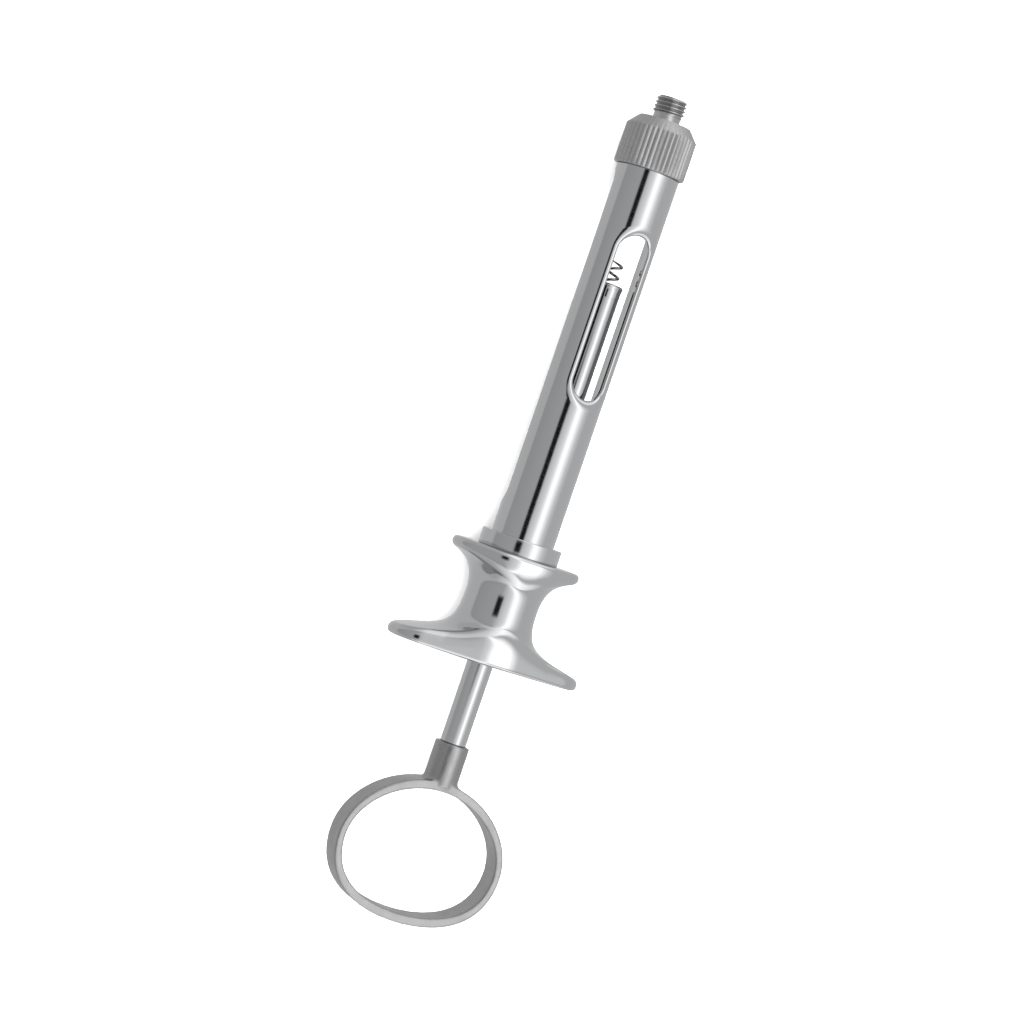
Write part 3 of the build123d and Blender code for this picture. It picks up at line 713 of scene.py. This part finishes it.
def wing_section(wing, radius):
    """Points (along X, radius, 0) of a wing's section where its outline is `radius` from the axis."""
    inward, face, reach = wing["inward"], wing["face"], wing["reach"]
    waist_pull = wing["pulls"][0] * abs(WAIST_X - face)
    wing_pull = wing["pulls"][1] * (reach - WAIST_RADIUS)
    tip_x = face + inward * wing["tip"]
    hollow = interpolate_bezier(
        Vector((WAIST_X, WAIST_RADIUS, 0)), Vector((WAIST_X - inward * waist_pull, WAIST_RADIUS, 0)),
        Vector((tip_x + inward * WING_SLOPE * wing_pull, reach - wing_pull, 0)),
        Vector((tip_x, reach, 0)), 120)
    kept = [point for point in hollow if point.y < radius - 0.001 * MM]
    start, end = kept[-1], hollow[min(len(kept), len(hollow) - 1)]
    share = (radius - start.y) / max(end.y - start.y, 1e-9)
    rim = start.lerp(end, min(share, 1))
    rim.y = radius
    line = kept + [rim]
    length = sum((b - a).length for a, b in zip(line, line[1:]))
    height = abs(rim.x - face)
    rim_round = min(RIM_ROUND, height - FACE_ROUND - 0.05 * MM)
    before_rim = [walk(line, (length - rim_round) * (i / 30)) for i in range(31)]
    below_rim = Vector((rim.x - inward * rim_round, radius, 0))
    above_edge = Vector((face + inward * FACE_ROUND, radius, 0))
    edge = Vector((face, radius, 0))
    inside_edge = Vector((face, radius - FACE_ROUND, 0))
    turned_rim = soft_corner(before_rim[-1], rim, below_rim, 12)
    down_rim = [below_rim.lerp(above_edge, i / 5) for i in range(1, 5)]
    turned_edge = soft_corner(above_edge, edge, inside_edge, 8)
    return before_rim + turned_rim[1:] + down_rim + turned_edge


def soft_corner(start, corner, end, count):
    """A corner turned by a curve that is tangent to both of its sides."""
    return interpolate_bezier(start, start.lerp(corner, 0.6), end.lerp(corner, 0.6), end, count)


print("points in a wing section:", len(wing_section(REAR_WING, HALF_DEPTH)))

# %% [markdown]
# The rear face is bored for the guide bush and the front for the barrel's spigot. Each vertex of
# the profile keeps its row number in a mesh layer, which `spin` copies to every vertex it makes.

# %% Finger grip
BUSH_HOLE, BUSH_DEPTH = 4.01 * MM, 6.4 * MM
PASSAGE = 3.4 * MM
SPIGOT_HOLE, SPIGOT_DEPTH = 5.61 * MM, 7.0 * MM
HOLE_BREAK = 0.2 * MM


def grip_section(turn):
    """The whole closed section of the grip in one direction."""
    rear = wing_section(REAR_WING, outline_radius(turn, REAR_WING["reach"]))
    front = wing_section(FRONT_WING, outline_radius(turn, FRONT_WING["reach"]))
    bores = [(GRIP_FRONT, SPIGOT_HOLE + HOLE_BREAK), (GRIP_FRONT - HOLE_BREAK, SPIGOT_HOLE),
             (GRIP_FRONT - SPIGOT_DEPTH, SPIGOT_HOLE), (GRIP_FRONT - SPIGOT_DEPTH, PASSAGE),
             (GRIP_REAR + BUSH_DEPTH, PASSAGE), (GRIP_REAR + BUSH_DEPTH, BUSH_HOLE),
             (GRIP_REAR + HOLE_BREAK, BUSH_HOLE), (GRIP_REAR, BUSH_HOLE + HOLE_BREAK)]
    outside = [(point.x, point.y) for point in rear[::-1] + front[1:]]
    return outside + bores


GRIP_STEPS = 288
bm = bmesh.new()
row = bm.verts.layers.int.new("row")
section = draw(bm, grip_section(math.pi / 2))
for number, vert in enumerate([item for item in section if isinstance(item, bmesh.types.BMVert)]):
    vert[row] = number
bmesh.ops.spin(bm, geom=section, cent=AXIS_POINT, axis=(1, 0, 0), angle=2 * math.pi, steps=GRIP_STEPS,
               use_merge=True)
sections = {}
for vert in bm.verts:
    turn = math.atan2(vert.co.y, vert.co.z - AXIS_Z)
    key = round(turn * GRIP_STEPS / (2 * math.pi))
    if key not in sections:
        sections[key] = grip_section(key * 2 * math.pi / GRIP_STEPS)
    x, radius = sections[key][vert[row]]
    vert.co = (x, radius * math.sin(turn), AXIS_Z + radius * math.cos(turn))
bmesh.ops.recalc_face_normals(bm, faces=bm.faces)
hand_over(bm, "finger_grip", "barrel_assembly", buffed_steel, sharper_than=40)

# %% [markdown]
# **Knurled cap.** The cap is turned, and its ribs are cut by a straight knurling tool, 44 of them.
# Eight vertices follow each rib round, and the ones in the rows between foot and chamfer are moved
# in to make V-shaped grooves with flat crests between. The chamfer is one straight cone, so the
# grooves run out in it in a row of small scallops. A hand-held tool never cuts evenly, so each
# groove's depth varies a little.

# %% Knurled cap
cap_rear, cap_front, cap_radius = span("knurled_cap")
RIBS, RIB_STEPS = 44, 8
GROOVE, GROOVE_SHARE = 0.27 * MM, 0.68
FOOT = 0.32 * MM
CONE = 2.1 * MM
CAP_TOP, CAP_HOLE, CAP_BORE, CAP_ROOF = 4.93 * MM, 3.25 * MM, 5.55 * MM, 1.7 * MM
cone_foot = cap_front - CONE
run_out = CONE * GROOVE / (cap_radius - CAP_TOP)
ROWS = [0.0, 0.25, 0.5, 0.75, 1.0]
bm = bmesh.new()
ribbed = bm.verts.layers.int.new("ribbed")
outer = [(cap_rear + FOOT + (cone_foot - cap_rear - FOOT) * share, cap_radius) for share in ROWS]
section = draw(bm, [(cap_rear, CAP_BORE), (cap_rear, cap_radius - 1.1 * FOOT),
                    (cap_rear + 0.3 * FOOT, cap_radius - 0.45 * FOOT)] + outer +
               [(cone_foot + run_out, cap_radius - GROOVE), (cap_front, CAP_TOP), (cap_front, CAP_HOLE),
                (cap_front - CAP_ROOF, CAP_HOLE), (cap_front - CAP_ROOF, CAP_BORE)])
for vert in section[3:3 + len(ROWS)]:
    vert[ribbed] = 1
bmesh.ops.spin(bm, geom=section, cent=AXIS_POINT, axis=(1, 0, 0), angle=2 * math.pi, steps=RIBS * RIB_STEPS,
               use_merge=True)
for vert in bm.verts:
    if vert[ribbed]:
        turn = math.atan2(vert.co.y, vert.co.z - AXIS_Z)
        place_in_rib = (turn * RIBS / (2 * math.pi)) % 1
        number = math.floor(turn * RIBS / (2 * math.pi))
        depth = GROOVE * (0.86 + 0.14 * math.sin(number * 2.4) * math.sin(number * 0.7))
        cut = depth * max(0, 1 - abs(place_in_rib - 0.5) / (GROOVE_SHARE / 2))
        vert.co.y -= cut * math.sin(turn)
        vert.co.z -= cut * math.cos(turn)
bmesh.ops.recalc_face_normals(bm, faces=bm.faces)
hand_over(bm, "knurled_cap", "knurled_cap", blasted_steel, sharper_than=24)

# %% [markdown]
# **Needle adapter.** The body is turned like the rest. Its thread is one pitch of the ridge's
# section, spun round and moved forward a little at every step, so that each turn ends where the
# next begins. Both ends are then cut square, and the ridge is faded out in a short cone at the neck
# and the tip, as a die leaves it.

# %% Adapter body
tip_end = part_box("needle_adapter")[1].x
PITCH, CREST, ROOT, THREAD_LENGTH = 0.75 * MM, 3.0 * MM, 2.54 * MM, 3.35 * MM
NECK, BOSS, BORE = 2.58 * MM, 3.2 * MM, 1.0 * MM
thread_rear = tip_end - THREAD_LENGTH
PILOT_LENGTH, LEAD_LENGTH, LEAD_RADIUS = 0.9 * MM, 1.2 * MM, 2.2 * MM
FLANGE_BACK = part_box("needle_adapter")[0].x + PILOT_LENGTH
FLANGE_FRONT, FLANGE_RADIUS, PILOT = FLANGE_BACK + 1.3 * MM, 5.45 * MM, 4.65 * MM
CUP_RADIUS = PILOT - 0.6 * MM
bm = bmesh.new()
section = draw(bm, [
    (FLANGE_BACK - PILOT_LENGTH, CUP_RADIUS), (FLANGE_BACK - PILOT_LENGTH, PILOT), (FLANGE_BACK, PILOT),
    (FLANGE_BACK, FLANGE_RADIUS), (FLANGE_FRONT, FLANGE_RADIUS), (FLANGE_FRONT, BOSS), (cap_front, BOSS),
    (cap_front, NECK), (thread_rear, NECK), (thread_rear + 0.1 * MM, ROOT - 0.02 * MM),
    (tip_end, ROOT - 0.02 * MM), (tip_end, BORE + 0.3 * MM), (tip_end - 0.3 * MM, BORE),
    (FLANGE_BACK + LEAD_LENGTH, BORE), (FLANGE_BACK, LEAD_RADIUS), (FLANGE_BACK, CUP_RADIUS)])
spin(bm, section, 96)
break_edges(bm, 0.07 * MM, sharper_than=40, segments=2)
adapter_body = bpy.data.meshes.new("adapter_body")
bm.to_mesh(adapter_body)
bm.free()

# %% Adapter thread
THREAD_STEPS = 72
turns = math.ceil(THREAD_LENGTH / PITCH) + 2
flat, flank = 0.1 * PITCH, 0.38 * PITCH
bm = bmesh.new()
begin = thread_rear - 1.5 * PITCH
one_pitch = draw(bm, [(begin, ROOT), (begin + flank, CREST - 0.02 * MM), (begin + flank + flat, CREST),
                      (begin + flank + 2 * flat, CREST - 0.02 * MM), (begin + 2 * flank + 2 * flat, ROOT),
                      (begin + PITCH, ROOT)], closed=False)
bmesh.ops.spin(bm, geom=one_pitch, cent=AXIS_POINT, axis=(1, 0, 0), dvec=(PITCH / THREAD_STEPS, 0, 0),
               angle=2 * math.pi * turns, steps=THREAD_STEPS * turns, use_merge=False)
bmesh.ops.remove_doubles(bm, verts=bm.verts, dist=0.002 * MM)
for cut_x, clear_front in ((thread_rear, False), (tip_end, True)):
    everything = bm.verts[:] + bm.edges[:] + bm.faces[:]
    bmesh.ops.bisect_plane(bm, geom=everything, dist=1e-8, plane_co=(cut_x, 0, AXIS_Z), plane_no=(1, 0, 0),
                           clear_outer=clear_front, clear_inner=not clear_front)
for vert in bm.verts:
    radius = math.hypot(vert.co.y, vert.co.z - AXIS_Z)
    end_room = min(vert.co.x - thread_rear + 0.02 * MM, (tip_end - vert.co.x) * 1.1 + 0.06 * MM)
    allowed = ROOT + end_room
    if radius > allowed:
        vert.co.y *= allowed / radius
        vert.co.z = AXIS_Z + (vert.co.z - AXIS_Z) * allowed / radius
# whole discs close the thread's cut ends, and the front one wrongly covers the bore's mouth too
bmesh.ops.holes_fill(bm, edges=[edge for edge in bm.edges if edge.is_boundary])
bm.from_mesh(adapter_body)
bmesh.ops.recalc_face_normals(bm, faces=bm.faces)
bpy.data.meshes.remove(adapter_body)
hand_over(bm, "needle_adapter", "needle_adapter", turned_steel, sharper_than=32)

# %% [markdown]
# **Corkscrew tip.** A hard steel wire is wound into an open coil, which screws into the cartridge's
# rubber stopper and lets the piston pull it back. The coil is a small circle spun round the axis
# and moved forward at every step. Its last part is ground down to a point.

# %% Corkscrew
coil_rear, coil_front = span("corkscrew_tip")[:2]
WIRE = 0.28 * MM
COIL = 1.15 * MM
COIL_PITCH, COIL_TURNS, COIL_STEPS = 2.17 * MM, 2.4, 40
coil_start = head_front - CUP
SHANK = 1.45 * MM
bm = bmesh.new()
AROUND_WIRE = 14
circle = bmesh.ops.create_circle(bm, cap_ends=True, segments=AROUND_WIRE, radius=WIRE)["verts"]
first_turn = Vector((coil_start - WIRE, 0, AXIS_Z + COIL))
START_TURN = math.radians(105)
bmesh.ops.rotate(bm, verts=circle, cent=(0, 0, 0), matrix=Matrix.Rotation(math.radians(90), 3, "X"))
bmesh.ops.translate(bm, verts=circle, vec=first_turn)
bmesh.ops.rotate(bm, verts=circle, cent=AXIS_POINT, matrix=Matrix.Rotation(START_TURN, 3, "X"))
steps = round(COIL_STEPS * COIL_TURNS)
bmesh.ops.spin(bm, geom=bm.faces[:], cent=AXIS_POINT, axis=(1, 0, 0), dvec=(COIL_PITCH / COIL_STEPS, 0, 0),
               angle=2 * math.pi * steps / COIL_STEPS, steps=steps)
wire_verts = bm.verts[:]
rings = [wire_verts[i:i + AROUND_WIRE] for i in range(0, len(wire_verts), AROUND_WIRE)]
GROUND, POINT = 14, 0.3
for number, ring in enumerate(rings[-GROUND:]):
    middle = sum((vert.co for vert in ring), Vector()) / len(ring)
    slim = 1 - (1 - POINT) * (number + 1) / GROUND
    bmesh.ops.scale(bm, verts=ring, vec=(slim, slim, slim), space=Matrix.Translation(-middle))
print("rings of", AROUND_WIRE, "vertices:", len(rings), "verts:", len(wire_verts))
print("coil from", round((min(v.co.x for v in bm.verts) - coil_start) / MM, 2), "to",
      round((max(v.co.x for v in bm.verts) - coil_front) / MM, 2), "mm past the CAD coil's end")
section = draw(bm, [(coil_rear, 0), (coil_rear, SHANK), (coil_start, SHANK), (coil_start, 0)], closed=False)
spin(bm, section, 48)
hand_over(bm, "corkscrew_tip", "thumb_ring_and_corkscrew", wire_steel)

# %% [markdown]
# **Thumb ring.** The ring and its socket are one casting, so where they meet there is a small soft
# fillet all round, which no lathe or saw leaves. The band is drawn as two oval loops joined by a
# face and pulled up to its depth, and the socket is turned. The two are then fused by a voxel
# remesh, whose even little faces can be smoothed like a tumbled casting.

# %% Ring outline
ring_low, ring_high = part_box("thumb_ring")
SOCKET_LENGTH = 7.2 * MM
RING_LENGTH = ring_high.x - ring_low.x - SOCKET_LENGTH
RING_WIDTH = ring_high.y - ring_low.y
RING_DEPTH = 6.1 * MM
END_THICKNESS, SIDE_THICKNESS = 1.75 * MM, 1.45 * MM
REAR_HALF = 0.475 * RING_LENGTH
ring_widest = ring_low.x + REAR_HALF


def oval(trim_ends, trim_sides):
    """One loop of points: a slim front half and a fuller, shorter rear half."""
    loop = []
    for end, side, length, fullness in ((1, 1, RING_LENGTH - REAR_HALF, 0.53), (-1, 1, REAR_HALF, 0.63),
                                        (-1, -1, REAR_HALF, 0.63), (1, -1, RING_LENGTH - REAR_HALF, 0.53)):
        tip = Vector((end * (length - trim_ends), 0, 0))
        flank = Vector((0, side * (RING_WIDTH / 2 - trim_sides), 0))
        quarter = interpolate_bezier(tip, tip + flank * fullness, flank + tip * fullness, flank, 49)
        loop += (quarter if end * side > 0 else quarter[::-1])[:-1]
    return [Vector((ring_widest, 0, AXIS_Z)) + point for point in loop]


# %% Thumb ring
bm = bmesh.new()
loops = []
for trims in ((0, 0), (END_THICKNESS, SIDE_THICKNESS)):
    loop = [bm.verts.new(point) for point in oval(*trims)]
    loops += [bm.edges.new(pair) for pair in zip(loop, loop[1:] + loop[:1])]
bmesh.ops.bridge_loops(bm, edges=loops)
bmesh.ops.translate(bm, verts=bm.verts, vec=(0, 0, -RING_DEPTH / 2))
grown = bmesh.ops.extrude_face_region(bm, geom=bm.faces[:])["geom"]
bmesh.ops.translate(bm, verts=[item for item in grown if isinstance(item, bmesh.types.BMVert)],
                    vec=(0, 0, RING_DEPTH))
bmesh.ops.recalc_face_normals(bm, faces=bm.faces)
socket_radius = (ring_high.z - ring_low.z) / 2
socket_rear = ring_low.x + RING_LENGTH - END_THICKNESS / 2
ROD_HOLE, ROD_HOLE_REAR = 2.05 * MM, socket_front - 5.55 * MM
section = draw(bm, [(socket_rear, 0), (socket_rear, socket_radius), (socket_front, socket_radius),
                    (socket_front, ROD_HOLE), (ROD_HOLE_REAR, ROD_HOLE), (ROD_HOLE_REAR, 0)], closed=False)
spin(bm, section, 96)
rough_ring = bpy.data.meshes.new("thumb_ring_rough")
bm.to_mesh(rough_ring)
bm.free()
rough = bpy.data.objects.new("thumb_ring_rough", rough_ring)
bpy.context.scene.collection.objects.link(rough)
fuse = rough.modifiers.new("fuse", "REMESH")
fuse.mode = "VOXEL"
fuse.voxel_size = 0.2 * MM
bpy.context.view_layer.update()
fused = rough.evaluated_get(bpy.context.evaluated_depsgraph_get()).to_mesh()
bm = bmesh.new()
bm.from_mesh(fused)
bpy.data.objects.remove(rough)
bpy.data.meshes.remove(rough_ring)
for _ in range(5):
    bmesh.ops.smooth_vert(bm, verts=bm.verts, factor=0.5, use_axis_x=True, use_axis_y=True, use_axis_z=True)

# %% Fillets where the socket meets the band
JOINT_REACH = 2.5 * MM
HOLLOW = 0.002 * MM
joint = [vert for vert in bm.verts if abs(vert.co.x - ring_low.x - RING_LENGTH) < JOINT_REACH]
for _ in range(40):
    bm.normal_update()
    hollow = []
    for vert in joint:
        around_it = [edge.other_vert(vert).co for edge in vert.link_edges]
        pulled = sum(around_it, Vector()) / len(around_it) - vert.co
        if pulled.dot(vert.normal) > HOLLOW:
            hollow.append(vert)
    bmesh.ops.smooth_vert(bm, verts=hollow, factor=0.5, use_axis_x=True, use_axis_y=True, use_axis_z=True)
print("vertices in the fillets:", len(hollow))
hand_over(bm, "thumb_ring", "thumb_ring_and_corkscrew", satin_steel, sharper_than=180)
